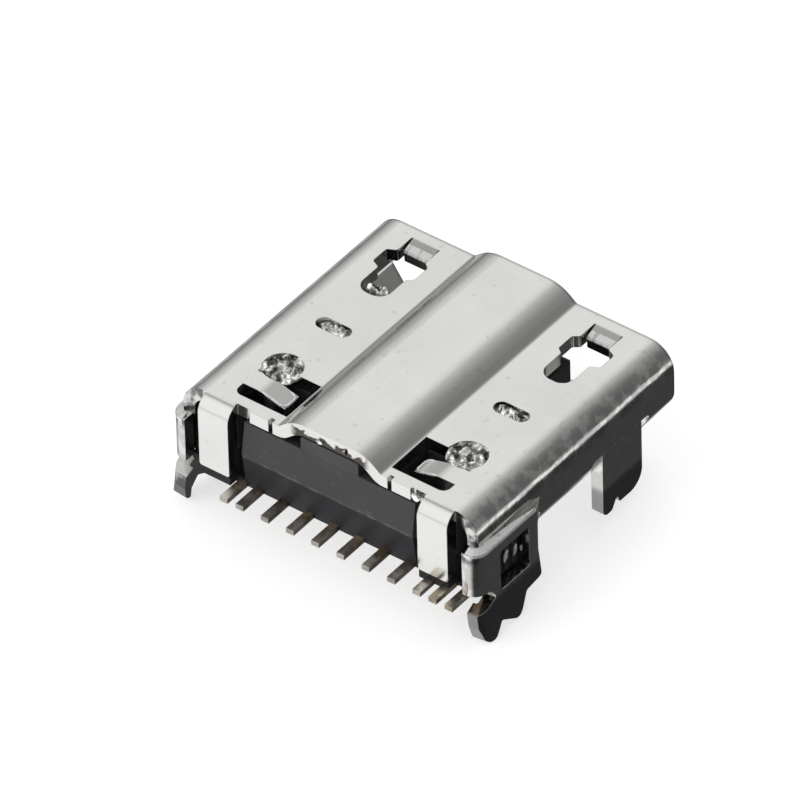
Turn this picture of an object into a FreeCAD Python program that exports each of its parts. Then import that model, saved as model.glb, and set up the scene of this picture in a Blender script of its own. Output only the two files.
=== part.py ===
import FreeCAD, Part
import math
import os

os.makedirs("parts", exist_ok=True)

# Charging port connector for a phone: a folded steel shell round a moulded housing that holds
# eleven contacts. It is sunk into a cut-out at the board's edge and soldered by its tails and legs.
# Frame: X across the width, Y from the mouth (-Y) to the solder tails (+Y), and Z up from the
# board's surface. The origin is the middle of the housing's seat on the board.
# Sizes are in millimetres. "Back" distances run forward from the rear face of the shell's tabs,
# "drop" distances run down from the shell's flat top, and an "inset" runs back from the mouth.

# Shell: the folded sheet
sheet = 0.30
shell_width = 7.60
shell_depth = 6.96
top_above_board = 2.05
mouth_height = 1.85
bottom_half_width = 3.02
wall_drop = 1.30
plate_back = 0.28
seam_gap = 0.04
top_bend = 0.30
wall_bend = 0.25
bottom_bend = 0.25
channel_foot_half = 1.31
channel_top_half = 0.92
channel_rise = 0.33
channel_foot_bend = 0.12
channel_top_bend = 0.55

# Shell: what is cut away below, for the board and the legs
opening_drop = 1.15
opening_half_inner = 2.72
opening_round = 0.12
rear_opening_front = 2.36
front_opening_back_inset = 2.80
front_opening_front_inset = 0.86
bottom_plate_back = 1.00

# Shell: latch windows with their lead-in ramps
latch_inner = 2.00
latch_outer = 2.72
latch_back_inset = 2.26
latch_front_inset = 0.30
latch_end_round = 0.30
lobe_inner = 1.86
lobe_outer = 2.93
lobe_back_inset = 1.46
lobe_front_inset = 0.80
lobe_slant = 0.10
lobe_round = 0.08
ramp_clearance = 0.03
ramp_length = 0.32
ramp_angle = 18.0
ramp_bend = 0.06

# Shell: rear windows with a leaf bent down in each
window_inner = 1.35
window_outer = 2.72
window_back = 0.60
window_front = 1.78
window_round = 0.18
leaf_back = 0.93
leaf_front = 1.42
leaf_tip = 1.66
leaf_bend_at = 2.30
leaf_angle = 16.0
leaf_bend = 0.35
leaf_tip_round = 0.10

# Shell: coined marks
coin_across = 2.37
coin_back = 1.81
coin_radius = 0.44
coin_depth = 0.10
coin_swell_radius = 0.36
coin_swell_depth = 0.26
dimple_across = 2.29
dimple_back = 3.42
dimple_length = 0.85
dimple_width = 0.36
dimple_depth = 0.14
dimple_wall = 0.10

# Shell: rear tabs, bent down over the housing
tab_inner = 2.43
tab_outer = 3.20
tab_drop = 1.77
tab_bend = 0.10
tab_corner = 0.06
tab_relief_width = 0.36
tab_relief_depth = 0.07
nick_across = 1.48
nick_width = 0.10
nick_depth = 0.12

# Shell: rear legs, half-sheared outward from the side walls
leg_step = 0.17
leg_step_front = 2.32
leg_step_back = 2.04
leg_step_bend = 0.15
leg_front = 2.08
leg_top_drop = 0.78
lean_drop = 1.92
lean_angle = 7.0
lip_reach = 0.41
lip_bend = 0.05
lip_drop = 1.88
hole_back = 0.76
hole_front = 1.74
hole_top_drop = 1.08
hole_bottom_drop = 2.08
hole_round = 0.08

# Shell: the rear leg's foot, as places along and down the leg
shoulder_front_drop = 2.57
shoulder_back = 1.52
shoulder_drop = 2.63
front_toe_high = 1.33
front_toe_high_drop = 2.96
front_toe_low = 1.19
rear_leg_drop = 3.12
toe_notch = 0.65
toe_notch_drop = 2.82
rear_toe_front = 0.42
rear_toe_back = 0.15
heel_back = 0.06
heel_low_drop = 2.74
heel_top_drop = 2.40
ankle = 0.58
ankle_drop = 2.16
ankle_back = 0.44
toe_round = 0.16
heel_round = 0.05
shoulder_round = 0.10

# Shell: front legs, flush with the side walls
front_leg_back_inset = 2.48
front_leg_front_inset = 1.14
front_leg_drop = 2.85
front_prong_drop = 2.79
prong_notch = 0.24
prong_notch_at = 0.48
prong_notch_half = 0.08
prong_slope = 0.30
prong_round = 0.42
prong_end_round = 0.16

# Housing
fit = 0.03
housing_back = 0.27
housing_front = 2.00
ridge_height = 0.95
ridge_reach = 0.12
seat_front = 0.95
crown_half = 0.74
crown_round = 0.05
ridge_round = 0.04
corner_cut = 0.30
tab_slot_width = 0.23
tab_slot_front = 0.95
tab_slot_step_front = 0.45
tab_slot_step_height = 0.80
tab_slot_floor = 0.16
ledge_back = 0.03
ledge_floor = 0.05
skirt_back = 0.33
skirt_front = 1.62
skirt_height = 0.80
pocket_floor = 1.02
tongue_half = 1.88
tongue_top_drop = 0.58
tongue_thickness = 0.55
tongue_inset = 0.92
tongue_nose = 0.12
root_front = 2.46
root_half = 2.30
root_step = 0.12
boss_reach = 0.06
boss_clearance = 0.10
boss_ribs = 3
rib_width = 0.12
rib_reach = 0.05

# Contacts
contact_thickness = 0.12
tail_width = 0.20
blade_width = 0.20
tail_length = 0.42
riser_back = 0.48
jog_back = 0.80
jog_front = 1.66
jog_width = 0.14
jog_lead = 0.13
lift_back = 1.85
upper_jog_height = 0.62
lower_jog_height = 0.26
blade_inset = 0.22
contact_bend = 0.05
wide_pitch = 0.65
narrow_pitch = 0.41
narrow_pitches_first = 1
narrow_pitches_last = 2
last_tail_inset = 0.28
blade_pitch = 0.65
upper_row = 6
lower_row = 5

# Places that follow from the sizes
rear_y = (housing_back + seat_front) / 2
mouth_y = rear_y - shell_depth
half_width = shell_width / 2
top_z = top_above_board
bottom_z = top_z - mouth_height - 2 * sheet
inner_top_z = top_z - sheet
inner_half = half_width - sheet
tongue_top_z = top_z - tongue_top_drop
tongue_under_z = tongue_top_z - tongue_thickness
housing_top_z = inner_top_z - fit
skirt_half = inner_half + leg_step - fit
housing_half_width = inner_half - fit
latch_back = shell_depth - latch_back_inset
latch_front = shell_depth - latch_front_inset
lobe_back = shell_depth - lobe_back_inset
lobe_front = shell_depth - lobe_front_inset
front_opening_back = shell_depth - front_opening_back_inset
front_opening_front = shell_depth - front_opening_front_inset
front_leg_back = shell_depth - front_leg_back_inset
front_leg_front = shell_depth - front_leg_front_inset
tongue_front = shell_depth - tongue_inset
blade_front = tongue_front - blade_inset


def back(distance):
    """Y of a place so far forward of the rear face of the tabs."""
    return rear_y - distance


def drop(distance):
    """Z of a place so far below the shell's flat top."""
    return top_z - distance


def section_at(y):
    return lambda a, b: FreeCAD.Vector(a, y, b)


def side_at(x):
    return lambda a, b: FreeCAD.Vector(x, a, b)


def plan_at(z):
    return lambda a, b: FreeCAD.Vector(a, b, z)


def rounded_face(corners, place):
    """A flat face inside corners (a, b, radius), each corner rounded by a tangent arc."""
    points = []
    count = len(corners)
    for i in range(count):
        here = FreeCAD.Vector(corners[i][0], corners[i][1], 0)
        before = FreeCAD.Vector(corners[i - 1][0], corners[i - 1][1], 0)
        after = FreeCAD.Vector(corners[(i + 1) % count][0], corners[(i + 1) % count][1], 0)
        radius = corners[i][2]
        way_in = (here - before).normalize()
        way_out = (after - here).normalize()
        turn = way_in.getAngle(way_out)
        if radius <= 0 or turn < 1e-6:
            points.append((here, None, here))
            continue
        reach = radius * math.tan(turn / 2)
        to_centre = (way_out - way_in).normalize()
        middle = here + to_centre * (radius / math.cos(turn / 2) - radius)
        points.append((here - way_in * reach, middle, here + way_out * reach))
    edges = []
    for i in range(count):
        start, middle, end = points[i]
        if middle is not None:
            arc = Part.Arc(place(start.x, start.y), place(middle.x, middle.y), place(end.x, end.y))
            edges.append(arc.toShape())
        following = points[(i + 1) % count][0]
        if (following - end).Length > 1e-6:
            line = Part.LineSegment(place(end.x, end.y), place(following.x, following.y))
            edges.append(line.toShape())
    return Part.Face(Part.Wire(edges))


def bent_strip(path, thickness):
    """Corners of a strip bent along path (a, b, inside bend radius), thick to the left of it."""
    normals = []
    for i in range(len(path) - 1):
        run_a = path[i + 1][0] - path[i][0]
        run_b = path[i + 1][1] - path[i][1]
        length = math.hypot(run_a, run_b)
        normals.append((-run_b / length, run_a / length))
    outer = []
    inner = []
    for i in range(len(path)):
        a, b, bend = path[i]
        first = normals[max(i - 1, 0)]
        second = normals[min(i, len(normals) - 1)]
        share = 1 + first[0] * second[0] + first[1] * second[1]
        inner_a = a + thickness * (first[0] + second[0]) / share
        inner_b = b + thickness * (first[1] + second[1]) / share
        turn = first[0] * second[1] - first[1] * second[0]
        if abs(turn) < 1e-9:
            outer.append((a, b, 0))
            inner.append((inner_a, inner_b, 0))
        elif turn > 0:
            outer.append((a, b, bend + thickness))
            inner.append((inner_a, inner_b, bend))
        else:
            outer.append((a, b, bend))
            inner.append((inner_a, inner_b, bend + thickness))
    return outer + inner[::-1]


def sharp_strip(path, thickness):
    """The same strip with its corners left sharp, as a punch cuts it."""
    return [(a, b, 0) for a, b, radius in bent_strip(path, thickness)]


def block(x0, x1, y0, y1, z0, z1):
    low = FreeCAD.Vector(min(x0, x1), min(y0, y1), min(z0, z1))
    return Part.makeBox(abs(x1 - x0), abs(y1 - y0), abs(z1 - z0), low)


def both_sides(shape):
    """The shape and its mirror image across the middle plane."""
    return [shape, shape.mirror(FreeCAD.Vector(0, 0, 0), FreeCAD.Vector(1, 0, 0))]


def save(shape, node):
    shape.exportStep("parts/" + node + ".step")


def shell_section():
    """The sheet's outer line from the seam round to the seam again, and its thickness inside."""
    right = [
        (seam_gap / 2, bottom_z, 0),
        (bottom_half_width, bottom_z, bottom_bend),
        (half_width, drop(wall_drop), wall_bend),
        (half_width, top_z, top_bend),
        (channel_foot_half, top_z, channel_foot_bend),
        (channel_top_half, top_z + channel_rise, channel_top_bend),
    ]
    left = [(-a, b, bend) for a, b, bend in right[::-1]]
    return bent_strip(right + left, sheet)


def folded_body():
    """The shell's wrapped wall, cut away below where the board and the legs need room."""
    length = shell_depth - plate_back
    body = rounded_face(shell_section(), section_at(mouth_y)).extrude(FreeCAD.Vector(0, length, 0))
    below = bottom_z - sheet
    reach = half_width + sheet
    rear_end = back(-sheet)
    cuts = [block(-reach, reach, back(bottom_plate_back), rear_end, below, drop(opening_drop))]
    side_ways = [(rear_opening_front, -sheet), (front_opening_front, front_opening_back)]
    for front_edge, back_edge in side_ways:
        corners = [
            (back(front_edge), below, 0),
            (back(back_edge), below, 0),
            (back(back_edge), drop(opening_drop), opening_round),
            (back(front_edge), drop(opening_drop), opening_round),
        ]
        face = rounded_face(corners, side_at(opening_half_inner))
        cuts += both_sides(face.extrude(FreeCAD.Vector(reach - opening_half_inner, 0, 0)))
    sheared = block(inner_half - sheet, reach, back(leg_step_front), rear_end,
                    below, drop(leg_top_drop))
    cuts += both_sides(sheared)
    return body.cut(cuts)


def latch_window():
    """Outline of the slot that takes the plug's hook, with a lobe on each side."""
    return [
        (latch_inner, back(latch_back), latch_end_round),
        (latch_outer, back(latch_back), latch_end_round),
        (latch_outer, back(lobe_back), lobe_round),
        (lobe_outer, back(lobe_back + lobe_slant), lobe_round),
        (lobe_outer, back(lobe_front - lobe_slant), lobe_round),
        (latch_outer, back(lobe_front), lobe_round),
        (latch_outer, back(latch_front), 0),
        (latch_inner, back(latch_front), 0),
        (latch_inner, back(lobe_front), lobe_round),
        (lobe_inner, back(lobe_front - lobe_slant), lobe_round),
        (lobe_inner, back(lobe_back + lobe_slant), lobe_round),
        (latch_inner, back(lobe_back), lobe_round),
    ]


def latch_ramp():
    """The flap bent down from the window's front edge, which lifts the plug's hook in."""
    slope = math.radians(ramp_angle)
    end_y = back(latch_front) + ramp_length * math.cos(slope)
    end_z = top_z - ramp_length * math.sin(slope)
    root_y = back(latch_front) - ramp_length / 2
    path = [(end_y, end_z, 0), (back(latch_front), top_z, ramp_bend), (root_y, top_z, 0)]
    width = latch_outer - latch_inner - 2 * ramp_clearance
    face = rounded_face(bent_strip(path, sheet), side_at(latch_inner + ramp_clearance))
    return face.extrude(FreeCAD.Vector(width, 0, 0))


def rear_window():
    """Outline of the window that is punched round the leaf."""
    return [
        (window_inner, back(window_back), 0),
        (window_outer, back(window_back), window_round),
        (window_outer, back(window_front), window_round),
        (window_inner, back(window_front), 0),
    ]


def leaf():
    """The leaf left in the rear window, rooted outboard and bent down towards the middle."""
    slope = math.radians(leaf_angle)
    run = leaf_bend_at - leaf_tip
    root_x = window_outer + (half_width - top_bend - sheet - window_outer) / 2
    path = [(root_x, top_z, 0), (leaf_bend_at, top_z, leaf_bend)]
    path.append((leaf_tip, top_z - run * math.tan(slope), 0))
    width = leaf_front - leaf_back
    bent = rounded_face(bent_strip(path, sheet), section_at(back(leaf_front)))
    strip = bent.extrude(FreeCAD.Vector(0, width, 0))
    far = root_x + sheet
    near = leaf_tip - sheet
    trim = [
        (near, back(leaf_front), leaf_tip_round),
        (far, back(leaf_front), 0),
        (far, back(leaf_back), 0),
        (near, back(leaf_back), leaf_tip_round),
    ]
    outline = rounded_face(trim, plan_at(bottom_z)).extrude(FreeCAD.Vector(0, 0, top_z - bottom_z))
    return strip.common(outline)


def stadium(across, back_distance, length, width):
    """Corners of a round-ended slot that lies across the shell."""
    nearly_half = 0.499 * width
    corners = []
    for side_a, side_b in [(-1, -1), (1, -1), (1, 1), (-1, 1)]:
        a = across + side_a * length / 2
        b = back(back_distance) + side_b * width / 2
        corners.append((a, b, nearly_half))
    return corners


def rear_tab():
    """One of the two tabs that hold the housing in from behind."""
    root_y = back(plate_back + sheet)
    path = [(rear_y, drop(tab_drop), 0), (rear_y, top_z, tab_bend), (root_y, top_z, 0)]
    width = tab_outer - tab_inner
    face = rounded_face(bent_strip(path, sheet), side_at(tab_inner))
    tab = face.extrude(FreeCAD.Vector(width, 0, 0))
    corners = [
        (tab_inner, drop(tab_drop), tab_corner),
        (tab_outer, drop(tab_drop), tab_corner),
        (tab_outer, top_z + sheet, 0),
        (tab_inner, top_z + sheet, 0),
    ]
    outline = rounded_face(corners, section_at(back(plate_back + 2 * sheet)))
    return tab.common(outline.extrude(FreeCAD.Vector(0, plate_back + 3 * sheet, 0)))


def lean_out(leg, outer_x):
    """The leg with its foot splayed outward, so that it springs into the board's slot."""
    low = drop(rear_leg_drop + sheet)
    y0 = back(rear_opening_front + 2 * sheet)
    below = block(0, outer_x + sheet, y0, rear_y + sheet, low, drop(lean_drop))
    foot = leg.common(below)
    hinge = FreeCAD.Vector(outer_x - sheet, 0, drop(lean_drop))
    foot.rotate(hinge, FreeCAD.Vector(0, 1, 0), -lean_angle)
    return leg.cut(below).fuse(foot)


def rear_leg():
    """A leg half-sheared outward from the wall, with a lip behind and a square hole."""
    step_x = half_width + leg_step
    path = [
        (half_width, back(rear_opening_front + sheet), 0),
        (half_width, back(leg_step_front), leg_step_bend),
        (step_x, back(leg_step_back), leg_step_bend),
        (step_x, rear_y, lip_bend),
        (step_x - lip_reach, rear_y, 0),
    ]
    low = drop(rear_leg_drop + sheet)
    strip = rounded_face(bent_strip(path, sheet), plan_at(low))
    strip = strip.extrude(FreeCAD.Vector(0, 0, drop(leg_top_drop) - low))
    wall_end = rear_opening_front + sheet / 2
    outline = [
        (back(wall_end), drop(leg_top_drop), 0),
        (back(wall_end), drop(opening_drop), 0),
        (back(leg_front), drop(opening_drop), opening_round),
        (back(leg_front), drop(shoulder_front_drop), heel_round),
        (back(shoulder_back), drop(shoulder_drop), shoulder_round),
        (back(front_toe_high), drop(front_toe_high_drop), toe_round),
        (back(front_toe_low), drop(rear_leg_drop), toe_round),
        (back(toe_notch), drop(toe_notch_drop), heel_round),
        (back(rear_toe_front), drop(rear_leg_drop), toe_round),
        (back(rear_toe_back), drop(rear_leg_drop), toe_round),
        (back(heel_back), drop(heel_low_drop), shoulder_round),
        (back(heel_back), drop(heel_top_drop), heel_round),
        (back(ankle), drop(ankle_drop), heel_round),
        (back(ankle_back), drop(lip_drop), heel_round),
        (back(-sheet), drop(lip_drop), 0),
        (back(-sheet), drop(leg_top_drop), 0),
    ]
    face = rounded_face(outline, side_at(inner_half - sheet))
    leg = lean_out(strip.common(face.extrude(FreeCAD.Vector(4 * sheet, 0, 0))), step_x)
    hole = [
        (back(hole_front), drop(hole_top_drop), hole_round),
        (back(hole_back), drop(hole_top_drop), hole_round),
        (back(hole_back), drop(hole_bottom_drop), hole_round),
        (back(hole_front), drop(hole_bottom_drop), hole_round),
    ]
    punched = rounded_face(hole, side_at(inner_half)).extrude(FreeCAD.Vector(3 * sheet, 0, 0))
    return leg.cut(punched)


def front_leg():
    """A two-pronged leg that carries straight on down from the side wall."""
    notch = front_leg_back + prong_notch_at
    outline = [
        (back(front_leg_front), drop(opening_drop), 0),
        (back(front_leg_front), drop(front_prong_drop), prong_round),
        (back(notch + prong_notch_half), drop(front_prong_drop), heel_round),
        (back(notch), drop(front_prong_drop - prong_notch), heel_round),
        (back(front_leg_back + prong_slope), drop(front_leg_drop), shoulder_round),
        (back(front_leg_back), drop(front_leg_drop), prong_end_round),
        (back(front_leg_back), drop(opening_drop), 0),
    ]
    face = rounded_face(outline, side_at(inner_half))
    return face.extrude(FreeCAD.Vector(sheet, 0, 0))


def make_shell():
    shell = folded_body()
    through = FreeCAD.Vector(0, 0, 2 * sheet)
    cuts = []
    for outline in (latch_window(), rear_window()):
        cuts += both_sides(rounded_face(outline, plan_at(inner_top_z - sheet / 2)).extrude(through))
    relief = block(tab_inner - tab_relief_width, tab_inner, back(plate_back + tab_relief_depth),
                   back(0), inner_top_z, top_z)
    nick = block(nick_across, nick_across + nick_width, back(plate_back + nick_depth),
                 back(0), inner_top_z, top_z)
    cuts += both_sides(relief) + both_sides(nick)
    shell = shell.cut(cuts)
    added = []
    for piece in (latch_ramp(), leaf(), rear_tab(), rear_leg(), front_leg()):
        added += both_sides(piece)
    shell = shell.fuse(added)
    dent = stadium(dimple_across, dimple_back, dimple_length, dimple_width)
    swell = stadium(dimple_across, dimple_back, dimple_length + 2 * dimple_wall,
                    dimple_width + 2 * dimple_wall)
    bump = rounded_face(swell, plan_at(inner_top_z - dimple_depth))
    bump = bump.extrude(FreeCAD.Vector(0, 0, dimple_depth + sheet / 3))
    swell_spot = FreeCAD.Vector(coin_across, back(coin_back), top_z - coin_swell_depth)
    spread = Part.makeCylinder(coin_swell_radius, coin_swell_depth - coin_depth, swell_spot)
    shell = shell.fuse(both_sides(bump) + both_sides(spread))
    dent_face = rounded_face(dent, plan_at(top_z - dimple_depth))
    pressed = [dent_face.extrude(FreeCAD.Vector(0, 0, sheet))]
    coin_spot = FreeCAD.Vector(coin_across, back(coin_back), top_z - coin_depth)
    pressed.append(Part.makeCylinder(coin_radius, sheet, coin_spot))
    shell = shell.cut([half for piece in pressed for half in both_sides(piece)])
    return shell.removeSplitter()


def housing_body():
    """The moulded block behind the tongue, with the crown that fills the shell's channel."""
    crown_z = housing_top_z + channel_rise
    foot = housing_half_width - corner_cut
    section = [
        (-foot, 0, 0),
        (foot, 0, 0),
        (housing_half_width, corner_cut, 0),
        (housing_half_width, housing_top_z, corner_cut),
        (crown_half, housing_top_z, 0),
        (crown_half, crown_z, crown_round),
        (-crown_half, crown_z, crown_round),
        (-crown_half, housing_top_z, 0),
        (-housing_half_width, housing_top_z, corner_cut),
        (-housing_half_width, corner_cut, 0),
    ]
    length = housing_front - housing_back
    body = rounded_face(section, section_at(back(housing_front)))
    body = body.extrude(FreeCAD.Vector(0, length, 0))
    keel_half = opening_half_inner + fit
    keel_z = bottom_z + sheet + fit
    keel_back = back(bottom_plate_back - fit)
    keel = block(-keel_half, keel_half, back(housing_front), keel_back, keel_z, corner_cut)
    skirt = block(-skirt_half, skirt_half, back(skirt_front), back(skirt_back), 0, skirt_height)
    return body.fuse([keel, skirt])


def rear_ridge():
    """The low ridge along the middle of the housing's rear face, between the tab slots."""
    half = tab_inner - tab_slot_width
    corners = [
        (back(housing_back), housing_top_z, 0),
        (back(housing_back + sheet), housing_top_z, 0),
        (back(housing_back + sheet), 0, 0),
        (back(housing_back), 0, 0),
        (back(housing_back - ridge_reach), ridge_height, ridge_round),
    ]
    face = rounded_face(corners, side_at(-half))
    return face.extrude(FreeCAD.Vector(2 * half, 0, 0))


def tongue():
    """The tongue that carries the blades, thicker at its root."""
    nose = [
        (-tongue_half, back(housing_front), 0),
        (-tongue_half, back(tongue_front), tongue_nose),
        (tongue_half, back(tongue_front), tongue_nose),
        (tongue_half, back(housing_front), 0),
    ]
    blade = rounded_face(nose, plan_at(tongue_under_z))
    blade = blade.extrude(FreeCAD.Vector(0, 0, tongue_thickness))
    side = [
        (back(housing_front), tongue_under_z, 0),
        (back(housing_front), tongue_top_z, 0),
        (back(tongue_front), tongue_top_z, tongue_nose),
        (back(tongue_front), tongue_under_z, tongue_nose),
    ]
    profile = rounded_face(side, side_at(-tongue_half))
    blade = blade.common(profile.extrude(FreeCAD.Vector(2 * tongue_half, 0, 0)))
    root = block(-root_half, root_half, back(root_front), back(housing_front),
                 tongue_under_z - root_step, tongue_top_z + root_step)
    return blade.fuse(root)


def side_boss():
    """The boss that looks through the leg's square hole, with small crush ribs."""
    y0 = back(hole_front - boss_clearance)
    y1 = back(hole_back + boss_clearance)
    z0 = drop(hole_bottom_drop - boss_clearance)
    z1 = drop(hole_top_drop + boss_clearance)
    root_x = skirt_half - sheet
    boss = block(root_x, skirt_half + boss_reach, y0, y1, z0, z1)
    step = (y1 - y0) / boss_ribs
    ribs = []
    for i in range(boss_ribs):
        centre = y0 + (i + 0.5) * step
        ribs.append(block(root_x, skirt_half + boss_reach + rib_reach,
                          centre - rib_width / 2, centre + rib_width / 2, z0, z1))
    return boss.fuse(ribs)


def tab_ledge():
    """The ledge under a tab's end."""
    return block(tab_inner, tab_outer, back(ledge_back), back(housing_back + sheet),
                 ledge_floor, drop(tab_drop + fit))


def make_housing():
    added = [rear_ridge(), tongue()] + both_sides(side_boss()) + both_sides(tab_ledge())
    housing = housing_body().fuse(added)
    high = housing_top_z + channel_rise + sheet
    pad_face = back(sheet + fit)
    cuts = []
    levels = [(tab_slot_step_front, tab_slot_floor), (tab_slot_front, tab_slot_step_height)]
    for inner, outer in ((tab_inner - tab_slot_width, tab_inner), (tab_outer, half_width)):
        for slot_front, floor in levels:
            slot = block(inner, outer, back(slot_front), rear_y + sheet, floor, high)
            cuts += both_sides(slot)
    cuts += both_sides(block(tab_inner, tab_outer, pad_face, rear_y + sheet,
                             drop(tab_drop + fit), high))
    pocket = block(window_inner, window_outer, back(window_front), back(window_back),
                   pocket_floor, high)
    cuts += both_sides(pocket)
    return housing.cut(cuts).removeSplitter()


def tail_places():
    """X of each tail, set from the last one. The end pitches of the row are narrower."""
    gaps = upper_row + lower_row - 1
    pitches = [wide_pitch] * (gaps - narrow_pitches_first - narrow_pitches_last)
    pitches = [narrow_pitch] * narrow_pitches_first + pitches + [narrow_pitch] * narrow_pitches_last
    places = [last_tail_inset - half_width]
    for pitch in reversed(pitches):
        places.insert(0, places[0] + pitch)
    return places


def make_contact(tail_x, blade_x, jog_z, blade_z):
    """One contact: tail, riser, sideways jog inside the housing, lift, and blade on the tongue."""
    tail_path = [
        (rear_y + tail_length, contact_thickness, 0),
        (back(riser_back), contact_thickness, contact_bend),
        (back(riser_back), jog_z + contact_thickness, contact_bend),
        (back(jog_back), jog_z + contact_thickness, 0),
    ]
    tail_side = side_at(tail_x - tail_width / 2)
    tail = rounded_face(bent_strip(tail_path, contact_thickness), tail_side)
    tail = tail.extrude(FreeCAD.Vector(tail_width, 0, 0))
    jog_path = [
        (tail_x - jog_width / 2, back(jog_back - jog_lead), 0),
        (tail_x - jog_width / 2, back(jog_back), 0),
        (blade_x - jog_width / 2, back(jog_front), 0),
        (blade_x - jog_width / 2, back(jog_front + jog_lead), 0),
    ]
    jog = rounded_face(sharp_strip(jog_path, jog_width), plan_at(jog_z))
    jog = jog.extrude(FreeCAD.Vector(0, 0, contact_thickness))
    blade_path = [
        (back(jog_front), jog_z + contact_thickness, 0),
        (back(lift_back), jog_z + contact_thickness, contact_bend),
        (back(lift_back), blade_z + contact_thickness, contact_bend),
        (back(blade_front), blade_z + contact_thickness, 0),
    ]
    blade_side = side_at(blade_x - blade_width / 2)
    blade = rounded_face(bent_strip(blade_path, contact_thickness), blade_side)
    blade = blade.extrude(FreeCAD.Vector(blade_width, 0, 0))
    return tail.fuse([jog, blade]).removeSplitter()


def make_contacts():
    contacts = []
    for i, tail_x in enumerate(tail_places()):
        upper = i % 2 == 0
        in_row = i // 2
        row = upper_row if upper else lower_row
        blade_x = (row - 1) / 2 * blade_pitch - in_row * blade_pitch
        jog_z = upper_jog_height if upper else lower_jog_height
        blade_z = tongue_top_z - contact_thickness if upper else tongue_under_z
        contacts.append(make_contact(tail_x, blade_x, jog_z, blade_z))
    return contacts


shell = make_shell()
contacts = make_contacts()
housing = make_housing().cut(contacts)
save(shell, "shell")
save(housing, "housing")
for number, contact in enumerate(contacts, start=1):
    save(contact, "contact_%02d" % number)
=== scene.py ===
import bmesh
import bpy
import math
from mathutils import Matrix, Vector, noise


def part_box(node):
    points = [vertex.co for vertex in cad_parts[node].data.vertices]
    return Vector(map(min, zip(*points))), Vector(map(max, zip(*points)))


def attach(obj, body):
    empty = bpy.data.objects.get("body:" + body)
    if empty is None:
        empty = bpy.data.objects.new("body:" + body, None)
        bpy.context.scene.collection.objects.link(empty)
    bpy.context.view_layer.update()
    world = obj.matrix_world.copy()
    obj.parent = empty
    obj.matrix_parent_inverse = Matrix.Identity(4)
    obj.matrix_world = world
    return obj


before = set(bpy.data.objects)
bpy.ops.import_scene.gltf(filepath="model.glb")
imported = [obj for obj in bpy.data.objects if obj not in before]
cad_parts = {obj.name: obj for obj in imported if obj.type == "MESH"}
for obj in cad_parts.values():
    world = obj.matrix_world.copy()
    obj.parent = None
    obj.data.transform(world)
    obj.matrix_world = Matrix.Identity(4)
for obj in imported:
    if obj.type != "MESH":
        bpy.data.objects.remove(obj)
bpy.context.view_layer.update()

# The scene is in metres. Places and sizes on the object are written in millimetres, and MM
# turns them into metres where a mesh or a node takes them.
MM = 0.001

# Faces of the shell that everything else is placed from, worked out from its box in the frame.
# "Across" runs from the middle to both sides, "back" runs forward from the rear face of the
# tabs, "drop" runs down from the flat top, and an "inset" runs back from the mouth.
SHELL_LOW, SHELL_HIGH = [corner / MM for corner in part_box("shell")]
CHANNEL_RISE = 0.33
TOP = SHELL_HIGH.z - CHANNEL_RISE
REAR = SHELL_HIGH.y
MOUTH = SHELL_LOW.y
# Half the shell's width without its legs
HALF_WIDTH = 3.80
SIDES = ((-1, "right"), (1, "left"))

# Camera: a long lens, from behind, above and to the left of the mouth.
LENS = 778.5
SENSOR = 36.0
CAMERA_AT = Vector((-166.945, 210.10, 231.92)) * MM
CAMERA_LOOKS = Vector((0.4706, -0.5980, -0.6488))
CAMERA_ROLL = math.radians(-1.58)


def make_camera():
    """The camera, built from where it looks and how far it is rolled."""
    back = -CAMERA_LOOKS.normalized()
    level = Vector((0, 0, 1)).cross(back).normalized()
    upright = back.cross(level)
    right = level * math.cos(CAMERA_ROLL) + upright * math.sin(CAMERA_ROLL)
    up = upright * math.cos(CAMERA_ROLL) - level * math.sin(CAMERA_ROLL)
    data = bpy.data.cameras.new("camera")
    data.lens = LENS
    data.sensor_width = SENSOR
    data.sensor_fit = "HORIZONTAL"
    data.clip_start = 0.01
    data.clip_end = 10.0
    camera = bpy.data.objects.new("camera", data)
    turn = Matrix((right, up, back)).transposed()
    camera.matrix_world = Matrix.Translation(CAMERA_AT) @ turn.to_4x4()
    bpy.context.scene.collection.objects.link(camera)
    bpy.context.scene.camera = camera


# Node helpers
def add(tree, kind, **values):
    node = tree.nodes.new(kind)
    for key, value in values.items():
        setattr(node, key, value)
    return node


def link(tree, source, target):
    tree.links.new(source, target)


def feed(tree, value, socket):
    """A socket takes a plain value, or follows another node's output."""
    if isinstance(value, (int, float, tuple)):
        socket.default_value = value
    else:
        link(tree, value, socket)


def maths(tree, operation, first, second=0.0):
    node = add(tree, "ShaderNodeMath", operation=operation)
    feed(tree, first, node.inputs[0])
    feed(tree, second, node.inputs[1])
    return node.outputs[0]


def times(tree, first, *others):
    for other in others:
        first = maths(tree, "MULTIPLY", first, other)
    return first


def plus(tree, first, *others):
    for other in others:
        first = maths(tree, "ADD", first, other)
    return first


def one_less(tree, value):
    return maths(tree, "SUBTRACT", 1.0, value)


def between(tree, value, low, high, to_low=0.0, to_high=1.0):
    """Goes softly from to_low to to_high while the value goes from low to high."""
    node = add(tree, "ShaderNodeMapRange", interpolation_type="SMOOTHSTEP")
    node.inputs["From Min"].default_value = low
    node.inputs["From Max"].default_value = high
    node.inputs["To Min"].default_value = to_low
    node.inputs["To Max"].default_value = to_high
    link(tree, value, node.inputs["Value"])
    return node.outputs["Result"]


def rises(tree, value, start, end, most=1.0):
    return between(tree, value, start, end, 0.0, most)


def falls(tree, value, start, end, most=1.0):
    return between(tree, value, start, end, most, 0.0)


def split_axes(tree, vector):
    split = add(tree, "ShaderNodeSeparateXYZ")
    link(tree, vector, split.inputs[0])
    return split.outputs["X"], split.outputs["Y"], split.outputs["Z"]


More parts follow.
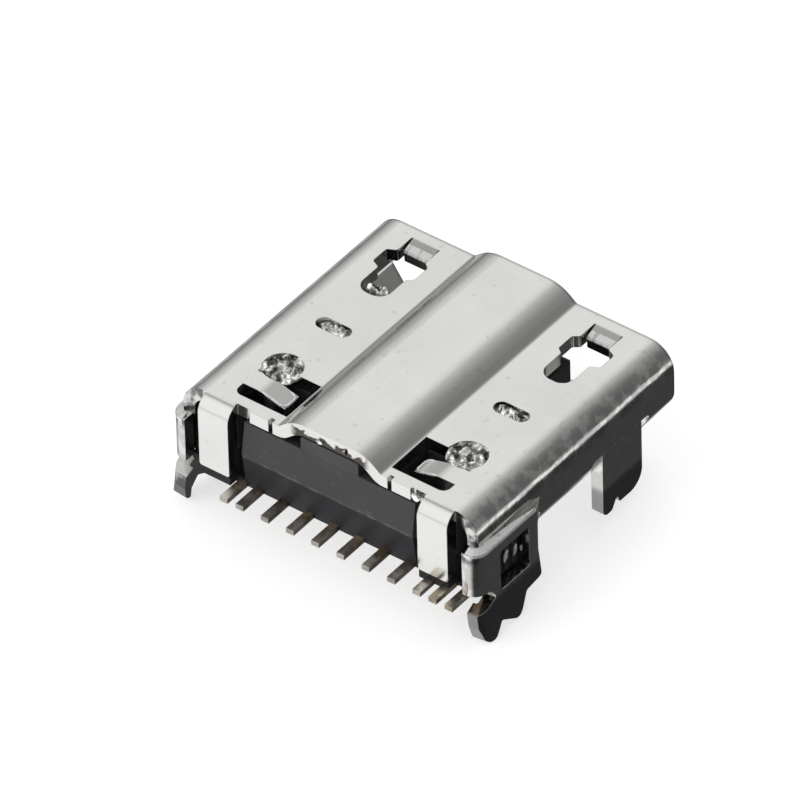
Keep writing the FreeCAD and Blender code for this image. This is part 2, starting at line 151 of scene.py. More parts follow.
def mixed(tree, share, first, second):
    """A colour between two, each a plain colour or another node's output."""
    node = add(tree, "ShaderNodeMix", data_type="RGBA")
    sockets = [socket for socket in node.inputs if socket.type == "RGBA"]
    feed(tree, first, sockets[0])
    feed(tree, second, sockets[1])
    feed(tree, share, node.inputs[0])
    return [socket for socket in node.outputs if socket.type == "RGBA"][0]


def noise_at(tree, place, scale, detail, stretch=None):
    """Noise over the object's own coordinates, stretched where a grain is wanted."""
    if stretch is not None:
        mapping = add(tree, "ShaderNodeMapping")
        mapping.inputs["Scale"].default_value = stretch
        link(tree, place, mapping.inputs["Vector"])
        place = mapping.outputs["Vector"]
    cloud = add(tree, "ShaderNodeTexNoise")
    cloud.inputs["Scale"].default_value = scale
    cloud.inputs["Detail"].default_value = detail
    link(tree, place, cloud.inputs["Vector"])
    return cloud.outputs["Fac"]


def soft_edge(tree, radius):
    node = add(tree, "ShaderNodeBevel", samples=6)
    node.inputs["Radius"].default_value = radius * MM
    return node.outputs["Normal"]


def bump(tree, height, strength, distance, normal=None):
    node = add(tree, "ShaderNodeBump")
    feed(tree, strength, node.inputs["Strength"])
    node.inputs["Distance"].default_value = distance * MM
    link(tree, height, node.inputs["Height"])
    if normal is not None:
        link(tree, normal, node.inputs["Normal"])
    return node.outputs["Normal"]


def new_material(name):
    material = bpy.data.materials.new(name)
    material.use_nodes = True
    tree = material.node_tree
    tree.nodes.clear()
    return material, tree


def shaded_material(name, metallic):
    material, tree = new_material(name)
    out = add(tree, "ShaderNodeOutputMaterial")
    shader = add(tree, "ShaderNodeBsdfPrincipled")
    shader.inputs["Metallic"].default_value = metallic
    link(tree, shader.outputs["BSDF"], out.inputs["Surface"])
    return material, tree, shader


def connect(tree, shader, tone, roughness, normal):
    link(tree, tone, shader.inputs["Base Color"])
    link(tree, roughness, shader.inputs["Roughness"])
    link(tree, normal, shader.inputs["Normal"])


# A face starts to count as a rear face where its normal's Y is the first, and does fully at the second.
REAR_FACE_FROM = 0.45
REAR_FACE_TO = 0.80


class Spot:
    """What a material knows of a point: its place, its X, Y and Z in millimetres, how far across it
    lies, and how much it faces the rear."""

    def __init__(self, tree):
        where = add(tree, "ShaderNodeTexCoord")
        geometry = add(tree, "ShaderNodeNewGeometry")
        self.place = where.outputs["Object"]
        self.x, self.y, self.z = [times(tree, axis, 1 / MM) for axis in split_axes(tree, self.place)]
        self.across = maths(tree, "ABSOLUTE", self.x)
        facing_y = split_axes(tree, geometry.outputs["Normal"])[1]
        self.rearward = rises(tree, facing_y, REAR_FACE_FROM, REAR_FACE_TO)


# Steel: plated sheet, in the shell. Noise scales count cells to a metre of the object.
CLOUD_SCALE = 420.0
MOTTLE_SCALE = 1400.0
GRAIN_SCALE = 2600.0
GRAIN_STRETCH = (6.0, 0.5, 3.0)
COARSE_SCALE = 3300.0
BLOB_SCALE = 4600.0
PIT_SCALE = 5200.0
FRAY_SCALE = 5600.0
SHEET_PALE = (0.665, 0.665, 0.645, 1)
SHEET_DULL = (0.625, 0.625, 0.607, 1)
SHEET_BRIGHT = (0.70, 0.70, 0.685, 1)
PIT_GREY = (0.40, 0.39, 0.375, 1)
# Painted shade on the bends between the top and the side walls
BEND_SHADE_GREY = (0.26, 0.25, 0.25, 1)
# Painted shade at the mouth's rim and on the right legs below the board
EDGE_SHADE_GREY = (0.20, 0.195, 0.20, 1)
CRESCENT_DARK = (0.07, 0.065, 0.07, 1)
# Painted shade on the rear faces of the legs below the board
FOOT_SHADE = (0.055, 0.053, 0.055, 1)
FRAY_DARK = (0.055, 0.046, 0.040, 1)
TORN_GREY = (0.46, 0.455, 0.44, 1)
# Painted glint and painted shade in torn and coined metal
TORN_GLINT = (1.0, 1.0, 0.985, 1)
TORN_SHADE = (0.11, 0.10, 0.095, 1)


def sheet_tone(tree, place, mottle):
    """Clean sheet: broad clouds, bright mottle and small pits."""
    cloud = noise_at(tree, place, CLOUD_SCALE, 3.0)
    pits = falls(tree, noise_at(tree, place, PIT_SCALE, 2.0), 0.26, 0.34, 0.30)
    tone = mixed(tree, rises(tree, cloud, 0.35, 0.68), SHEET_PALE, SHEET_DULL)
    tone = mixed(tree, rises(tree, mottle, 0.52, 0.75, 0.5), tone, SHEET_BRIGHT)
    return mixed(tree, pits, tone, PIT_GREY)


def top_bend(tree, spot):
    """How far a point lies on the bend between the flat top and a side wall, fading down the wall."""
    bend_from, bend_to = HALF_WIDTH - 0.45, HALF_WIDTH - 0.18
    fade_from, fade_to = TOP - 0.75, TOP - 0.43
    return times(tree, rises(tree, spot.across, bend_from, bend_to),
                 between(tree, spot.z, fade_from, fade_to, 0.22, 1.0))


def mouth_rim_shade(tree, spot):
    """Painted shade along the sheared edge of the sheet at the mouth."""
    rim_from, rim_to = MOUTH + 0.005, MOUTH + 0.09
    return falls(tree, spot.y, rim_from, rim_to, 0.62)


def rear_crescent(tree, spot, coarse):
    """The dark, patchy rear end of each side wall, stronger above the middle of the wall."""
    wall_from, wall_to = HALF_WIDTH - 0.58, HALF_WIDTH - 0.50
    upper_from, upper_to = TOP - 1.10, TOP - 0.90
    patchy = between(tree, coarse, 0.42, 0.60, 0.88, 0.10)
    return times(tree, spot.rearward, rises(tree, spot.across, wall_from, wall_to), patchy,
                 between(tree, spot.z, upper_from, upper_to, 0.25, 1.0))


def rear_feet_shade(tree, spot, mottle):
    """Painted shade on the rear faces of the legs below the board, with brighter spots, darker on the
    left.
    """
    feet_top, fade = -0.10, 0.40
    legs_apart = 6.0
    below = falls(tree, spot.z, feet_top - fade, feet_top, 0.92)
    spots = one_less(tree, rises(tree, mottle, 0.56, 0.70, 0.8))
    leftward = between(tree, spot.x, -legs_apart / 2, legs_apart / 2, 0.62, 1.0)
    return times(tree, below, spots, leftward, spot.rearward)


def frayed_channel(tree, spot):
    """The rear edge of the raised channel, torn and dark below a ragged line."""
    line_low, line_high, waver = TOP + 0.13, TOP + 0.18, 0.50
    channel_from, channel_to = 0.85, 1.05
    edge_from, edge_to = REAR - 0.41, REAR - 0.33
    roof_from, roof_to = TOP - 0.07, TOP - 0.03
    ragged = maths(tree, "SUBTRACT", noise_at(tree, spot.place, FRAY_SCALE, 3.0), 0.5)
    height = plus(tree, spot.z, times(tree, ragged, waver))
    return times(tree, spot.rearward,
                 falls(tree, height, line_low, line_high, 0.97),
                 falls(tree, spot.across, channel_from, channel_to),
                 rises(tree, spot.y, edge_from, edge_to),
                 rises(tree, spot.z, roof_from, roof_to))


def right_legs_shade(tree, spot):
    """Painted shade on the legs on the right, below the board."""
    full_at, gone_at = 0.30 - HALF_WIDTH, 0.50 - HALF_WIDTH
    board, fade = 0.0, 0.20
    below = falls(tree, spot.z, board - fade, board, 0.85)
    return times(tree, below, falls(tree, spot.x, full_at, gone_at))


def torn_tone(tree, place):
    """Torn or coined metal: grey, with painted glints as bright blobs and painted shade as dark blobs.
    """
    blobs = noise_at(tree, place, BLOB_SCALE, 2.0)
    tone = mixed(tree, rises(tree, blobs, 0.50, 0.56), TORN_GREY, TORN_GLINT)
    return mixed(tree, falls(tree, blobs, 0.40, 0.46), tone, TORN_SHADE)


def steel_relief(tree, spot, mottle, coarse, bend, least):
    """Bumps of the sheet, stronger on the top bends and on faces towards the rear."""
    relief_height, edge_radius = 0.010, 0.022
    grain = noise_at(tree, spot.place, GRAIN_SCALE, 3.0, GRAIN_STRETCH)
    strength = plus(tree, times(tree, bend, 0.75), least, times(tree, spot.rearward, 0.22))
    height = plus(tree, mottle, times(tree, grain, 0.35), times(tree, coarse, bend, 0.6))
    return bump(tree, height, strength, relief_height, soft_edge(tree, edge_radius))


def steel(name, torn=False):
    """Plated sheet with softened edges, painted shade on its low parts, top bends and mouth rim, or
    torn metal of the same with painted glints and painted shade.
    """
    material, tree, shader = shaded_material(name, 1.0)
    spot = Spot(tree)
    mottle = noise_at(tree, spot.place, MOTTLE_SCALE, 5.0)
    coarse = noise_at(tree, spot.place, COARSE_SCALE, 3.0)
    bend = top_bend(tree, spot)
    if torn:
        tone = torn_tone(tree, spot.place)
        least_bump = 0.05
    else:
        # Painted shade in patches on the top bends
        painted_bend_shade = times(tree, bend, falls(tree, coarse, 0.44, 0.60, 0.55))
        tone = sheet_tone(tree, spot.place, mottle)
        tone = mixed(tree, painted_bend_shade, tone, BEND_SHADE_GREY)
        # Painted shade at the mouth's rim
        tone = mixed(tree, mouth_rim_shade(tree, spot), tone, EDGE_SHADE_GREY)
        tone = mixed(tree, rear_crescent(tree, spot, coarse), tone, CRESCENT_DARK)
        # Painted shade on the rear faces of the feet
        tone = mixed(tree, rear_feet_shade(tree, spot, mottle), tone, FOOT_SHADE)
        tone = mixed(tree, frayed_channel(tree, spot), tone, FRAY_DARK)
        # Painted shade on the right legs below the board
        tone = mixed(tree, right_legs_shade(tree, spot), tone, EDGE_SHADE_GREY)
        least_bump = 0.10
    roughness = between(tree, mottle, 0.3, 0.7, 0.12, 0.20)
    connect(tree, shader, tone, roughness, steel_relief(tree, spot, mottle, coarse, bend, least_bump))
    return material


# Burnished steel: freshly sheared, rubbed edges, made pale as partly a painted highlight
STREAK_SCALE = 3000.0
STREAK_STRETCH = (4.0, 1.0, 1.0)
# Pale and bright: partly the rubbed metal's own colour, partly a painted highlight
RUB_AND_HIGHLIGHT_PALE = (0.72, 0.72, 0.71, 1)
RUB_AND_HIGHLIGHT_BRIGHT = (1.0, 1.0, 0.985, 1)
# Painted shade below the lip of a latch window's ramp
PAINTED_UNDER_SHADE = (0.035, 0.03, 0.028, 1)


def burnished_and_highlight(name, shade_below=None):
    """A sheared edge: pale, partly as rubbed metal and partly as a painted highlight, scratched and not
    mirror-like, with painted shade below a height if one is given.
    """
    material, tree, shader = shaded_material(name, 0.55)
    spot = Spot(tree)
    streak = noise_at(tree, spot.place, STREAK_SCALE, 4.0, STREAK_STRETCH)
    tone = mixed(tree, rises(tree, streak, 0.34, 0.50), RUB_AND_HIGHLIGHT_PALE, RUB_AND_HIGHLIGHT_BRIGHT)
    if shade_below is not None:
        height = plus(tree, spot.z, times(tree, streak, 0.05))
        # Painted shade below the given height
        under = falls(tree, height, shade_below - 0.02, shade_below + 0.03)
        tone = mixed(tree, under, tone, PAINTED_UNDER_SHADE)
    roughness = between(tree, streak, 0.3, 0.7, 0.24, 0.40)
    connect(tree, shader, tone, roughness, bump(tree, streak, 0.22, 0.008))
    return material


# Resin: the moulded housing, with a painted highlight along a step across its rear face
RESIN_CLOUD_SCALE = 900.0
SPECKLE_SCALE = 5200.0
STEP_AT = 0.865
RESIN_DARK = (0.058, 0.058, 0.063, 1)
RESIN_LIGHT = (0.073, 0.072, 0.078, 1)
FIBRE_PALE = (0.15, 0.14, 0.13, 1)
SPECK_DARK = (0.045, 0.045, 0.048, 1)
LOWER_DARK = (0.026, 0.025, 0.031, 1)
# Painted highlight along the step
STEP_HIGHLIGHT = (0.20, 0.195, 0.20, 1)
# Painted shade on the housing inside the shell
INSIDE_SHADE = (0.014, 0.013, 0.013, 1)


def step_highlight(tree, height, speckle):
    """Painted highlight: the pale, broken line along the moulded step."""
    line_full, line_ends, line_gone = STEP_AT + 0.035, STEP_AT + 0.045, STEP_AT + 0.085
    return times(tree, rises(tree, height, STEP_AT, line_full),
                 falls(tree, height, line_ends, line_gone),
                 rises(tree, speckle, 0.42, 0.56, 0.55))


def resin(name):
    """Dark glass-filled resin: fine speckle, a satin face, a darker and less shiny part below the step,
    a painted highlight along the step, and painted shade inside the shell.
    """
    deep_from, deep_to = REAR - 2.06, REAR - 1.86
    waver = 0.05
    material, tree, shader = shaded_material(name, 0.0)
    spot = Spot(tree)
    speckle = noise_at(tree, spot.place, SPECKLE_SCALE, 5.0)
    cloud = noise_at(tree, spot.place, RESIN_CLOUD_SCALE, 4.0)
    height = plus(tree, spot.z, times(tree, cloud, waver))
    lower = falls(tree, height, STEP_AT - 0.005, STEP_AT + 0.055, 0.55)
    tone = mixed(tree, rises(tree, cloud, 0.35, 0.65), RESIN_DARK, RESIN_LIGHT)
    tone = mixed(tree, rises(tree, speckle, 0.60, 0.72, 0.5), tone, FIBRE_PALE)
    tone = mixed(tree, falls(tree, speckle, 0.28, 0.38, 0.6), tone, SPECK_DARK)
    tone = mixed(tree, lower, tone, LOWER_DARK)
    # Painted highlight along the step
    tone = mixed(tree, step_highlight(tree, height, speckle), tone, STEP_HIGHLIGHT)
    # Painted shade on the housing inside the shell
    tone = mixed(tree, falls(tree, spot.y, deep_from, deep_to, 0.75), tone, INSIDE_SHADE)
    shine = maths(tree, "SUBTRACT", 0.42, times(tree, lower, 0.60))
    link(tree, shine, shader.inputs["Specular IOR Level"])
    roughness = between(tree, cloud, 0.3, 0.7, 0.42, 0.62)
    connect(tree, shader, tone, roughness, bump(tree, speckle, 0.35, 0.006, soft_edge(tree, 0.02)))
    return material


# Alloy: the contacts
STAIN_SCALE = 3800.0
PATCH_SCALE = 1500.0
TAIL_GREY = (0.58, 0.53, 0.46, 1)
TAIL_PALE = (0.92, 0.86, 0.77, 1)
FLUX_BROWN = (0.46, 0.32, 0.18, 1)
FLUX_GOLD = (0.94, 0.77, 0.54, 1)
STAIN_DARK = (0.06, 0.05, 0.045, 1)
# Painted shade on faces towards the rear
REAR_FACE_SHADE = (0.11, 0.10, 0.095, 1)


def alloy(name):
    """Contact metal: gold-brown flux at the roots and on the outer tails, dull grey at the tips, and
    painted shade on faces towards the rear.
    """
    root_from, root_to = REAR - 0.19, REAR + 0.25
    outer_from, outer_to = 2.45, 3.20
    material, tree, shader = shaded_material(name, 1.0)
    spot = Spot(tree)
    stains = noise_at(tree, spot.place, STAIN_SCALE, 4.0)
    patches = noise_at(tree, spot.place, PATCH_SCALE, 3.0)
    root = falls(tree, spot.y, root_from, root_to)
    outer = rises(tree, spot.across, outer_from, outer_to, 0.55)
    flux = times(tree, maths(tree, "MAXIMUM", root, outer), rises(tree, patches, 0.3, 0.6))
    grey = mixed(tree, rises(tree, stains, 0.40, 0.62), TAIL_GREY, TAIL_PALE)
    gold = mixed(tree, rises(tree, stains, 0.40, 0.60), FLUX_BROWN, FLUX_GOLD)
    tone = mixed(tree, flux, grey, gold)
    tone = mixed(tree, falls(tree, stains, 0.26, 0.36, 0.7), tone, STAIN_DARK)
    # Painted shade on faces towards the rear
    tone = mixed(tree, times(tree, spot.rearward, 0.62), tone, REAR_FACE_SHADE)
    roughness = between(tree, patches, 0.3, 0.7, 0.34, 0.52)
    connect(tree, shader, tone, roughness, bump(tree, stains, 0.45, 0.008, soft_edge(tree, 0.02)))
    return material


def dress(node, material):
    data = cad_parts[node].data
    data.materials.clear()
    data.materials.append(material)


# Mesh helpers
def ring_faces(rings, around):
    """Faces between closed rings of points, one ring after the other."""
    faces = []
    for ring in range(rings):
        for i in range(around):
            a = ring * around + i
            b = ring * around + (i + 1) % around
            faces.append((a, a + around, b + around, b))
    return faces


def end_faces(rings, around):
    """The flat faces that close the first ring and the last."""
    last = rings * around
    return [tuple(range(around)), tuple(last + i for i in range(around))]


def quarter_turn(steps, first=0):
    """Angles from 0 to a right angle."""
    return [math.pi / 2 * i / steps for i in range(first, steps + 1)]


def piece_from(name, points, faces, material, smooth=False):
    """A piece of the scene from points in millimetres, with its faces turned outward."""
    data = bpy.data.meshes.new(name)
    data.from_pydata([Vector(p) * MM for p in points], [], faces)
    shape = bmesh.new()
    shape.from_mesh(data)
    bmesh.ops.remove_doubles(shape, verts=shape.verts, dist=1e-9)
    bmesh.ops.recalc_face_normals(shape, faces=shape.faces)
    shape.to_mesh(data)
    shape.free()
    data.materials.append(material)
    for polygon in data.polygons:
        polygon.use_smooth = smooth
    data.update()
    piece = bpy.data.objects.new(name, data)
    bpy.context.scene.collection.objects.link(piece)
    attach(piece, "root")
    return piece


def box_piece(name, low, high, material):
    """A block between two corners."""
    x_values, y_values, z_values = zip(low, high)
    points = [(x, y, z) for z in z_values for y in y_values for x in x_values]
    faces = [(0, 2, 3, 1), (4, 5, 7, 6), (0, 1, 5, 4), (2, 6, 7, 3), (0, 4, 6, 2), (1, 3, 7, 5)]
    piece = piece_from(name, points, faces, material)
    return piece


# Crumpled metal: coined discs, dimples and torn bits
def crumple(x, y, seed, size):
    """Height of torn or coined metal at a place, from 0 to 1: broad lumps, sharp folds, fine grit."""
    lumps = noise.noise(Vector((x / size, y / size, seed)))
    folds = 1 - abs(noise.noise(Vector((x / size * 1.4, y / size * 1.4, seed + 7.3)))) * 2.6
    grit = noise.noise(Vector((x / size * 3.1, y / size * 3.1, seed + 3.1)))
    return min(max(0.42 + 0.85 * lumps + 0.34 * (folds - 0.4) + 0.10 * grit, 0.0), 1.0)


def rough_patch(name, centre, reach, low, high, seed, size, shorten=1.0):
    """A crumpled patch inside an oval, closed below by a flat face. Shorten trims its rear half."""
    rings, spokes = 26, 84
    skirt = 0.03
    points = []
    for ring in range(rings + 1):
        share = ring / rings
        fall = 0.35 + 0.65 * (1 - share ** 12)
        for spoke in range(spokes):
            turn = 2 * math.pi * spoke / spokes
            trim = 1.0 if math.sin(turn) < 0 else shorten
            x = centre[0] + reach[0] * share * math.cos(turn)
            y = centre[1] + reach[1] * share * trim * math.sin(turn)
            points.append((x, y, low + (high - low) * crumple(x, y, seed, size) * fall))
    points += [(x, y, low - skirt) for x, y, z in points[rings * spokes:]]
    faces = ring_faces(rings + 1, spokes)
    faces.append(end_faces(rings + 1, spokes)[1])
    return piece_from(name, points, faces, torn_look, smooth=True)


def coined_disc(side, word):
    across = 2.37
    back = 1.81
    radius = 0.49
    depth = 0.10
    swell = 0.055
    lump_size = 0.25
    rough_patch("coined_" + word, (side * across, REAR - back), (radius, radius),
                TOP - depth, TOP + swell, 11.0 + side, lump_size, shorten=0.84)


def dimple(side, word):
    across = 2.29
    back = 3.42
    half_long = 0.42
    half_short = 0.175
    depth = 0.14
    swell = 0.02
    lump_size = 0.20
    rough_patch("dimple_" + word, (side * across, REAR - back), (half_long, half_short),
                TOP - depth, TOP + swell, 23.0 + side, lump_size)


def torn_left():
    """The torn bit of metal that shows through the left latch window."""
    across = 2.36
    back = 4.88
    half_width = 0.32
    half_length = 0.36
    lowest = 0.22
    highest = 0.01
    lump_size = 0.22
    rough_patch("torn_left", (across, REAR - back), (half_width, half_length),
                TOP - lowest, TOP - highest, 41.0, lump_size)


# Sheared and rolled edges
def ramp_end(side, word):
    """The sheared end of the flap in a latch window: a pale lip, partly a painted highlight, over
    painted shade on the face below.
    """
    inner = 2.05
    width = 0.62
    inset = 0.604
    wave_height = 0.006
    wave_length = 0.11
    steps = 24
    # Each corner of the section: how far to the rear, how far up, and 1 where the edge wavers.
    section = ((-0.16, -0.075, 0), (-0.14, -0.040, 0), (0.015, -0.088, 1), (0.045, -0.15, 1),
               (0.035, -0.38, 0), (0.0, -0.38, 0))
    points = []
    for i in range(steps + 1):
        x = side * (inner + width * i / steps)
        waver = wave_height * noise.noise(Vector((x / wave_length, 3.7, side)))
        for rearward, upward, free in section:
            points.append((x, MOUTH + inset + rearward + free * waver, TOP + upward + free * waver))
    faces = ring_faces(steps, len(section)) + end_faces(steps, len(section))
    return piece_from("ramp_end_" + word, points, faces, ramp_highlight_and_shade_look)


def tube(name, path, radius, material):
    """A round bead along a path, tapered to both ends."""
    around = 10
    points = []
    for number, place in enumerate(path):
        before, after = path[max(number - 1, 0)], path[min(number + 1, len(path) - 1)]
        way = (after - before).normalized()
        across = way.cross(Vector((0, 0, 1))).normalized()
        above = across.cross(way)
        share = number / (len(path) - 1)
        size = radius * min(1.0, 0.15 + 6 * min(share, 1 - share))
        for i in range(around):
            turn = 2 * math.pi * i / around
            points.append(place + (across * math.cos(turn) + above * math.sin(turn)) * size)
    faces = ring_faces(len(path) - 1, around) + end_faces(len(path) - 1, around)
    return piece_from(name, points, faces, material, smooth=True)


def leaf_rim(side, word):
    """The rolled-over rim of the leaf in a rear window, round its free end, pale as partly a painted
    highlight.
    """
    tip = 1.68
    bend_at = 2.30
    rear = 0.955
    front = 1.395
    corner = 0.13
    slope = math.tan(math.radians(16.0))
    sink = 0.012
    radius = 0.034
    step = 0.02
    tip_step = 0.03
    track = [(bend_at - step * i, rear) for i in range(25)]
    for turn in quarter_turn(8, 1):
        track.append((tip + corner - corner * math.sin(turn), rear + corner - corner * math.cos(turn)))
    track += [(tip, rear + corner + tip_step * i) for i in range(1, 6)]
    for turn in quarter_turn(8, 1):
        track.append((tip + corner - corner * math.cos(turn), front - corner + corner * math.sin(turn)))
    track += [(tip + corner + step * i, front) for i in range(1, 6)]
    path = []
    for across, back in track:
        path.append(Vector((side * across, REAR - back, TOP - (bend_at - across) * slope - sink)))
    return tube("leaf_rim_" + word, path, radius, edge_highlight_look)


def shear_band(side, word):
    """The rubbed band along the top of a rear leg, where it was half-sheared out of the wall, pale as
    partly a painted highlight.
    """
    outer = 3.965
    corner = 0.34
    drop = 0.78
    length = 1.66
    widest = 0.17
    proud = 0.006
    lip = 0.010
    skirt = 0.06
    steps = 24
    track = []
    for turn in quarter_turn(8):
        way = (math.sin(turn), math.cos(turn))
        track.append((outer - corner + corner * way[0], REAR - corner + corner * way[1], way, widest))
    for i in range(1, steps + 1):
        share = i / steps
        width = widest * (1 - 0.75 * share ** 1.5)
        track.append((outer, REAR - corner - length * share, (1.0, 0.0), width))
    points = []
    for number, (x, y, way, width) in enumerate(track):
        rise = 0.44 * width * min(1.0, (len(track) - 1 - number) / 6 + 0.1)
        for reach, lift in ((proud, -skirt), (proud, -lip), (-width, rise), (-width, -skirt)):
            points.append((side * (x + way[0] * reach), y + way[1] * reach, TOP - drop + lift))
    faces = ring_faces(len(track) - 1, 4) + end_faces(len(track) - 1, 4)
    return piece_from("shear_band_" + word, points, faces, edge_highlight_look)


# Small bits painted bright as glints, and the dark housing behind the square hole of a rear leg
def sliver(name, centre, reach, lean, material, seed):
    """A small raised fleck of bright metal, rounded and slightly uneven."""
    rings, spokes = 10, 16
    points = []
    for ring in range(rings + 1):
        tilt = math.pi * ring / rings
        for spoke in range(spokes):
            turn = 2 * math.pi * spoke / spokes
            flat = math.sin(tilt)
            way = Vector((flat * math.cos(turn), flat * math.sin(turn), math.cos(tilt)))
            grow = 1 + 0.25 * noise.noise(way * 1.7 + Vector((seed, 0, 0)))
            x, y, z = [c + r * w * grow for c, r, w in zip(centre, reach, way)]
            points.append((x, y + lean * (z - centre[2]), z))
    return piece_from(name, points, ring_faces(rings, spokes), material, smooth=True)


def boss_back(side, word):
    """The dark housing seen through the square hole of a rear leg."""
    across = (3.60, 3.655)
    back = (1.80, 0.70)
    drop = (2.14, 1.02)
    low, high = [(side * a, REAR - b, TOP - d) for a, b, d in zip(across, back, drop)]
    box_piece("boss_back_" + word, low, high, resin_look)


def glint_flecks(side, word):
    """Three bits of metal behind the square hole, painted pale as glints, each a little smaller than
    the one before.
    """
    across = 3.755
    lean = -0.30
    places = ((1.22, 1.60), (1.53, 1.656), (1.76, 1.71))
    for number, (back, drop) in enumerate(places):
        reach = (0.035, 0.06 - 0.01 * number, 0.15 - 0.02 * number)
        sliver("fleck_%s_%d" % (word, number + 1), (side * across, REAR - back, TOP - drop),
               reach, lean, edge_highlight_look, 5.0 * number + side)


def burrs():
    """Burrs on the plate's sheared rear edge, as their place across, their drop and their reach."""
    back = 0.262
    places = ((-2.22, 0.13, (0.13, 0.05, 0.12)), (-0.40, -0.16, (0.06, 0.03, 0.07)),
              (0.25, -0.10, (0.10, 0.03, 0.05)))
    for number, (x, drop, reach) in enumerate(places):
        sliver("burr_%d" % (number + 1), (x, REAR - back, TOP - drop),
               reach, 0.0, torn_look, 31.0 + number)


# Studio: a white world for the camera, and a soft room with a dark side for everything else
FLOOR_HALF = 0.6
FLOOR_GREY = (0.9, 0.9, 0.9, 1)
FLOOR_LIFT = 0.62
WHITE = (1, 1, 1, 1)


def floor_paint():
    """Pale grey, lifted towards white where the camera sees it."""
    material, tree = new_material("floor")
    out = add(tree, "ShaderNodeOutputMaterial")
    shade = add(tree, "ShaderNodeBsdfDiffuse")
    shade.inputs["Color"].default_value = FLOOR_GREY
    lift = add(tree, "ShaderNodeEmission")
    lift.inputs["Color"].default_value = WHITE
    path = add(tree, "ShaderNodeLightPath")
    link(tree, times(tree, path.outputs["Is Camera Ray"], FLOOR_LIFT), lift.inputs["Strength"])
    both = add(tree, "ShaderNodeAddShader")
    link(tree, shade.outputs["BSDF"], both.inputs[0])
    link(tree, lift.outputs["Emission"], both.inputs[1])
    link(tree, both.outputs["Shader"], out.inputs["Surface"])
    return material


def floor_plane():
    """A square floor under the lowest foot."""
    low = min(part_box(name)[0].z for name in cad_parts)
    corners = [(x * FLOOR_HALF, y * FLOOR_HALF, low) for x, y in ((-1, -1), (1, -1), (1, 1), (-1, 1))]
    data = bpy.data.meshes.new("floor")
    data.from_pydata(corners, [], [(0, 1, 2, 3)])
    floor = bpy.data.objects.new("floor", data)
    bpy.context.scene.collection.objects.link(floor)
    data.materials.append(floor_paint())
    floor.visible_glossy = False


def lobe(tree, ray, towards, start, end):
    """1 where the ray points towards a direction, falling to 0 between two angles away from it."""
    dot = add(tree, "ShaderNodeVectorMath", operation="DOT_PRODUCT")
    dot.inputs[1].default_value = Vector(towards).normalized()
    link(tree, ray, dot.inputs[0])
    ramp = add(tree, "ShaderNodeMapRange", interpolation_type="SMOOTHERSTEP")
    ramp.inputs["From Min"].default_value = math.cos(math.radians(end))
    ramp.inputs["From Max"].default_value = math.cos(math.radians(start))
    link(tree, dot.outputs["Value"], ramp.inputs["Value"])
    return ramp.outputs["Result"]


def levels(tree, value, stops):
    """A grey level that follows a value from -1 to 1 through the given stops, at twice their level."""
    ramp = add(tree, "ShaderNodeValToRGB")
    while len(ramp.color_ramp.elements) < len(stops):
        ramp.color_ramp.elements.new(0.5)
    for element, (place, level) in zip(ramp.color_ramp.elements, stops):
        element.position = (place + 1) / 2
        element.color = (level, level, level, 1)
    fitted = add(tree, "ShaderNodeMapRange")
    fitted.inputs["From Min"].default_value = -1.0
    link(tree, value, fitted.inputs["Value"])
    link(tree, fitted.outputs["Result"], ramp.inputs["Fac"])
    return times(tree, ramp.outputs["Color"], 2.0)


# Brightness of the room from its right side, -1, to its left side, 1. Places in the room are
# given as parts of a ray's direction.
CEILING_LEVELS = ((-1.0, 0.13), (-0.66, 0.15), (-0.50, 0.18), (-0.34, 0.215), (-0.11, 0.31),
                  (0.11, 0.42), (0.22, 0.54), (0.36, 0.665), (0.50, 0.675), (0.62, 0.52),
                  (0.74, 0.34), (0.82, 0.26), (1.0, 0.24))
GROUND_LEVELS = ((-1.0, 0.038), (0.05, 0.040), (0.35, 0.20), (0.65, 0.36), (1.0, 0.34))
HORIZON_FROM, HORIZON_TO = -0.10, 0.06
BEHIND_BELOW = (0.472, 0.6, -0.646)
ABOVE_LEFT = (0.472, -0.106, 0.876)


def ceiling(tree, ray, x, y):
    """Bright on the left, brighter towards the rear, with a darker spot overhead."""
    rear = between(tree, y, 0.1, 0.5, 1.0, 1.18)
    spot = times(tree, lobe(tree, ray, ABOVE_LEFT, 7, 22), 0.52)
    return times(tree, levels(tree, x, CEILING_LEVELS), rear, one_less(tree, spot))


def ground(tree, ray, x):
    """Dark on the right, with a broad glow low behind the object."""
    glow = times(tree, lobe(tree, ray, BEHIND_BELOW, 20, 56), 1.55)
    return maths(tree, "MAXIMUM", levels(tree, x, GROUND_LEVELS), glow)


def skirting(tree, x, z):
    """How much a band at the horizon is darkened, on the left."""
    band = times(tree, rises(tree, z, -0.16, -0.05), falls(tree, z, 0.02, 0.16))
    return times(tree, band, rises(tree, x, 0.50, 0.62, 0.48))


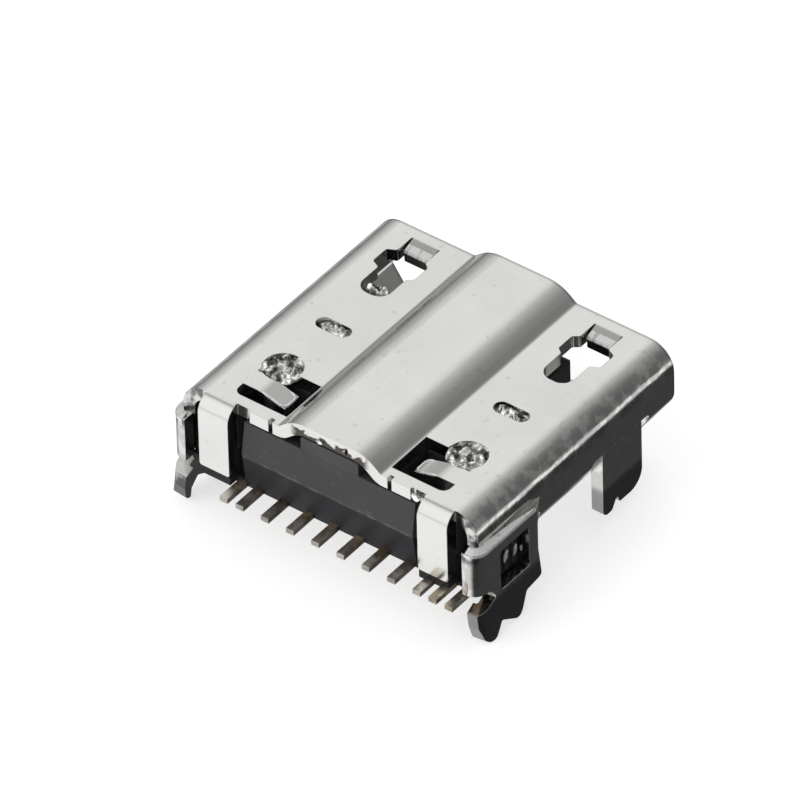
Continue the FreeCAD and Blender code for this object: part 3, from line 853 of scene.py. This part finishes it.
def light_strip(tree, x, y, z):
    """A bright strip low on the right, which draws the line below the shell's top bend."""
    band = times(tree, rises(tree, z, -0.27, -0.18), falls(tree, z, -0.06, 0.02))
    on_right = falls(tree, x, -0.60, -0.48)
    in_front = falls(tree, y, -0.35, -0.15)
    return times(tree, band, on_right, in_front, 1.6)


def make_world():
    """A room by direction: bright overhead and to the left, dark low on the right, white behind."""
    world = bpy.data.worlds.new("room")
    bpy.context.scene.world = world
    world.use_nodes = True
    tree = world.node_tree
    tree.nodes.clear()
    out = add(tree, "ShaderNodeOutputWorld")
    ray = add(tree, "ShaderNodeTexCoord").outputs["Generated"]
    x, y, z = split_axes(tree, ray)
    above = rises(tree, z, HORIZON_FROM, HORIZON_TO)
    level = plus(tree, times(tree, ceiling(tree, ray, x, y), above),
                 times(tree, ground(tree, ray, x), one_less(tree, above)))
    level = times(tree, level, one_less(tree, skirting(tree, x, z)))
    level = plus(tree, level, light_strip(tree, x, y, z))
    room = add(tree, "ShaderNodeBackground")
    link(tree, level, room.inputs["Strength"])
    white = add(tree, "ShaderNodeBackground")
    white.inputs["Color"].default_value = WHITE
    path = add(tree, "ShaderNodeLightPath")
    mix = add(tree, "ShaderNodeMixShader")
    link(tree, path.outputs["Is Camera Ray"], mix.inputs["Fac"])
    link(tree, room.outputs["Background"], mix.inputs[1])
    link(tree, white.outputs["Background"], mix.inputs[2])
    link(tree, mix.outputs["Shader"], out.inputs["Surface"])


make_camera()

steel_look = steel("steel")
torn_look = steel("torn_steel", torn=True)
# Pale edge pieces, partly a painted highlight; the ramp's also with painted shade below
edge_highlight_look = burnished_and_highlight("burnished_and_highlight")
ramp_highlight_and_shade_look = burnished_and_highlight("ramp_highlight_and_shade", shade_below=TOP - 0.14)
resin_look = resin("resin")
alloy_look = alloy("alloy")
looks = {"shell": steel_look, "housing": resin_look}
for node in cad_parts:
    dress(node, looks.get(node, alloy_look))

for side, word in SIDES:
    coined_disc(side, word)
    dimple(side, word)
    ramp_end(side, word)
    shear_band(side, word)
    leaf_rim(side, word)
    boss_back(side, word)
    glint_flecks(side, word)
burrs()
torn_left()

floor_plane()
make_world()
bpy.context.scene.view_settings.view_transform = "Standard"
